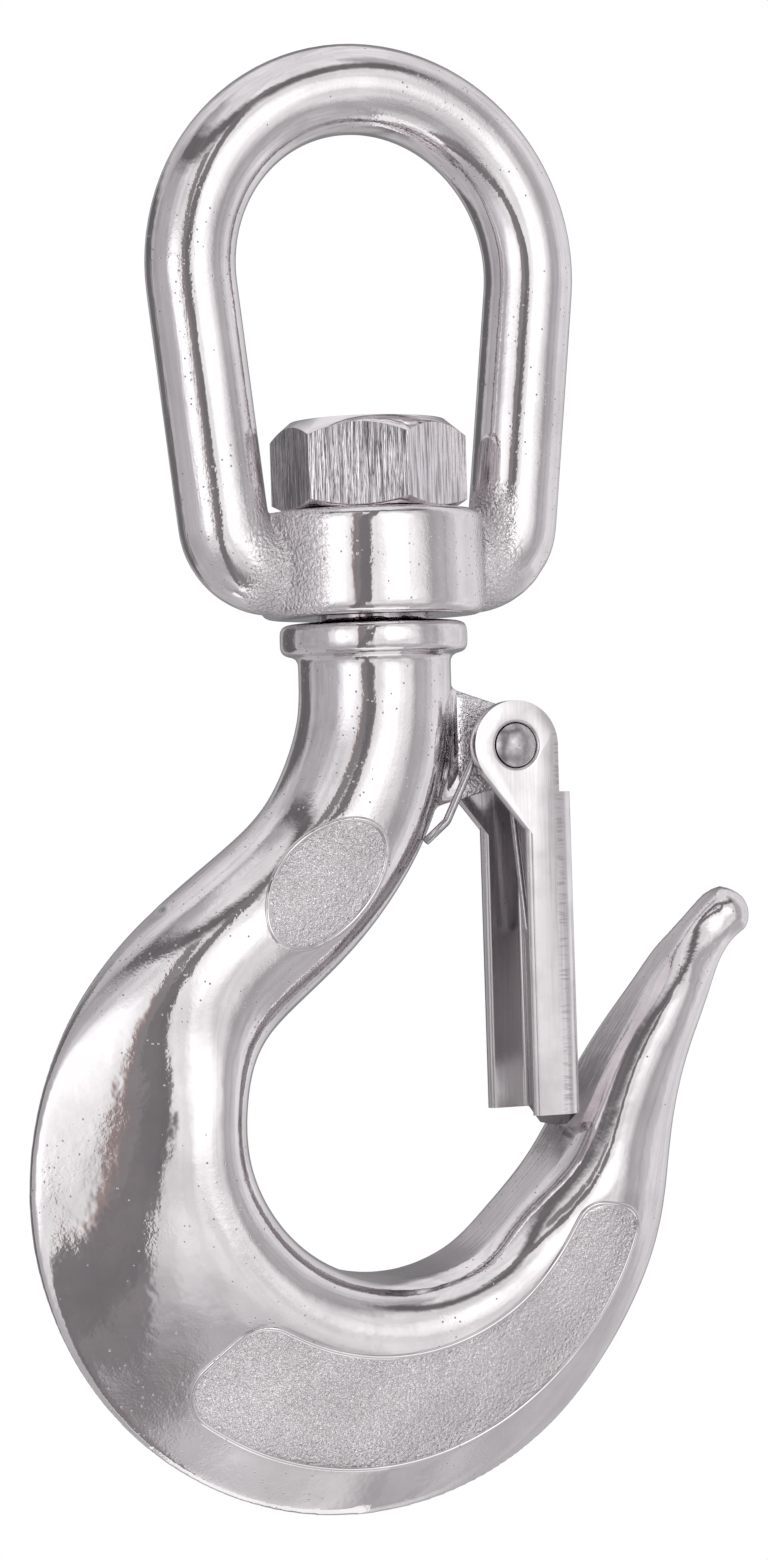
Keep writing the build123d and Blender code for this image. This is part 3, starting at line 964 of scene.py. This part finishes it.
def card_share(tree, angle, edges, soft):
    """Share of a card between its two edges, in degrees, with soft borders."""
    low, high = (math.radians(edge) for edge in edges)
    border = math.radians(soft) / 2
    apart = add(tree, "ShaderNodeMath", {0: angle, 1: (low + high) / 2}, operation="SUBTRACT").outputs[0]
    apart = add(tree, "ShaderNodeMath", {0: apart}, operation="ABSOLUTE").outputs[0]
    half = (high - low) / 2
    limits = (half - border, half + border)
    return add(tree, "ShaderNodeMapRange", enumerate((apart, *limits, 1.0, 0.0))).outputs[0]


def pitch_tent(scene):
    """A white tent that the metal mirrors, with dark cards in it that draw the form."""
    scene.world = bpy.data.worlds.new("White tent")
    scene.world.use_nodes = True
    tree = scene.world.node_tree
    tree.nodes.clear()
    way = add(tree, "ShaderNodeTexCoord").outputs["Generated"]
    turned = add(tree, "ShaderNodeMapping", {"Vector": way, "Rotation": (0, 0, VIEW_TURN)}).outputs[0]
    part = add(tree, "ShaderNodeSeparateXYZ", {0: turned}).outputs
    towards = add(tree, "ShaderNodeMath", {0: part["Y"], 1: -1.0}, operation="MULTIPLY").outputs[0]
    around = add(tree, "ShaderNodeMath", {0: part["X"], 1: towards}, operation="ARCTAN2").outputs[0]
    rise = add(tree, "ShaderNodeMath", {0: part["Z"]}, operation="ARCSINE").outputs[0]
    folds = add(
        tree, "ShaderNodeTexNoise", {"W": around, "Scale": FOLDS, "Detail": 2.0}, noise_dimensions="1D"
    )
    blotches = add(tree, "ShaderNodeTexNoise", {"Vector": way, "Scale": BLOTCHES, "Detail": 3.0})
    walls = tent_ramp(tree, around, TENT_ROUND)
    for sides, heights, soft, lean, code in CARDS:
        aside = add(
            tree, "ShaderNodeMath", {0: rise, 1: -lean, 2: around}, operation="MULTIPLY_ADD"
        ).outputs[0]
        wide, high = card_share(tree, aside, sides, soft), card_share(tree, rise, heights, soft)
        card = add(tree, "ShaderNodeMath", {0: wide, 1: high}, operation="MULTIPLY").outputs[0]
        walls = add(
            tree, "ShaderNodeMix", {"Factor": card, "A": walls, "B": linear_colour(code)}, data_type="RGBA"
        ).outputs["Result"]
    for uneven in (folds, blotches):
        limits = (*CLOTH_BAND, CLOTH_SHADE, 1.0)
        cloth = add(tree, "ShaderNodeMapRange", enumerate((uneven.outputs[0], *limits))).outputs[0]
        walls = add(
            tree,
            "ShaderNodeMix",
            {"Factor": 1.0, "A": walls, "B": cloth},
            data_type="RGBA",
            blend_type="MULTIPLY",
        ).outputs["Result"]
    path = add(tree, "ShaderNodeLightPath").outputs
    mirrored = add(
        tree,
        "ShaderNodeMath",
        {0: path["Is Glossy Ray"], 1: path["Is Transmission Ray"]},
        operation="MAXIMUM",
    ).outputs[0]
    seen = add(
        tree,
        "ShaderNodeMix",
        {"Factor": mirrored, "A": linear_colour(PLAIN_LIGHT), "B": walls},
        data_type="RGBA",
    ).outputs["Result"]
    seen = add(
        tree,
        "ShaderNodeMix",
        {"Factor": path["Is Camera Ray"], "A": seen, "B": linear_colour(WHITE)},
        data_type="RGBA",
    ).outputs["Result"]
    light = add(tree, "ShaderNodeBackground", {"Color": seen, "Strength": 1.0})
    add(tree, "ShaderNodeOutputWorld", {"Surface": light.outputs[0]})


def hang_lamps(scene):
    """A large soft lamp to the right of the lens and a weaker one to its left, each fading to its edge."""
    centre = Vector((0, 0, VIEW_HEIGHT))
    for name, turn, rise, width, power in LAMPS:
        turn, rise = math.radians(turn), math.radians(rise)
        way = Vector((math.sin(turn), -math.cos(turn), math.tan(rise)))
        way = Matrix.Rotation(-VIEW_TURN, 3, "Z") @ way.normalized()
        pick_none()
        bpy.ops.object.light_add(type="AREA", location=centre + way * LAMP_DISTANCE)
        lamp = bpy.context.active_object
        lamp.name = name
        lamp.data.shape = "DISK"
        lamp.data.size = width
        lamp.data.spread = 2 * math.atan(width / 2 / LAMP_DISTANCE)
        lamp.data.energy = power
        lamp.rotation_euler = way.to_track_quat("Z", "Y").to_euler()


def aim_camera(scene):
    """The lens at the reference's angle, with its slight lean."""
    ahead = Vector((math.sin(VIEW_TURN), math.cos(VIEW_TURN), 0))
    right = Vector((math.cos(VIEW_TURN), -math.sin(VIEW_TURN), 0))
    up = Vector((0, 0, 1))
    place = Vector((0, 0, VIEW_HEIGHT)) - ahead * VIEW_DISTANCE + right * VIEW_ASIDE
    lean_right = right * math.cos(VIEW_LEAN) - up * math.sin(VIEW_LEAN)
    lean_up = up * math.cos(VIEW_LEAN) + right * math.sin(VIEW_LEAN)
    bpy.ops.object.camera_add()
    camera = bpy.context.active_object
    camera.name = "lens"
    turn = Matrix((lean_right, lean_up, -ahead)).transposed()
    camera.matrix_world = Matrix.Translation(place) @ turn.to_4x4()
    camera.data.sensor_fit = "VERTICAL"
    camera.data.sensor_height = SENSOR
    camera.data.lens = LENS
    camera.data.clip_start = MM
    scene.camera = camera


PIECES = (
    HOOK_OT_hook_casting,
    HOOK_OT_panel_rims,
    HOOK_OT_eye_casting,
    HOOK_OT_nut,
    HOOK_OT_latch,
    HOOK_OT_pin_and_spring,
    HOOK_OT_stage,
)


class HOOK_PT_dress(bpy.types.Panel):
    """Lists the hook's pieces and settings."""

    bl_idname = "HOOK_PT_dress"
    bl_label = "Swivel hook"
    bl_space_type = "VIEW_3D"
    bl_region_type = "UI"
    bl_category = "Hook"

    def draw(self, context):
        for piece in PIECES:
            self.layout.operator(piece.bl_idname)
        for group in (context.scene.hook_sizes, context.scene.hook_colours):
            for name in group.bl_rna.properties.keys():
                if name not in {"rna_type", "name"}:
                    self.layout.prop(group, name)


CLASSES = (HookSizes, HookColours, *PIECES, HOOK_PT_dress)


def register():
    for each in CLASSES:
        bpy.utils.register_class(each)
    bpy.types.Scene.hook_sizes = bpy.props.PointerProperty(type=HookSizes)
    bpy.types.Scene.hook_colours = bpy.props.PointerProperty(type=HookColours)


def unregister():
    del bpy.types.Scene.hook_colours
    del bpy.types.Scene.hook_sizes
    for each in reversed(CLASSES):
        bpy.utils.unregister_class(each)


def main():
    register()
    bpy.ops.hook.hook_casting()
    bpy.ops.hook.panel_rims()
    bpy.ops.hook.eye_casting()
    bpy.ops.hook.nut()
    bpy.ops.hook.latch()
    bpy.ops.hook.pin_and_spring()
    bpy.ops.hook.stage()


if __name__ == "__main__":
    main()
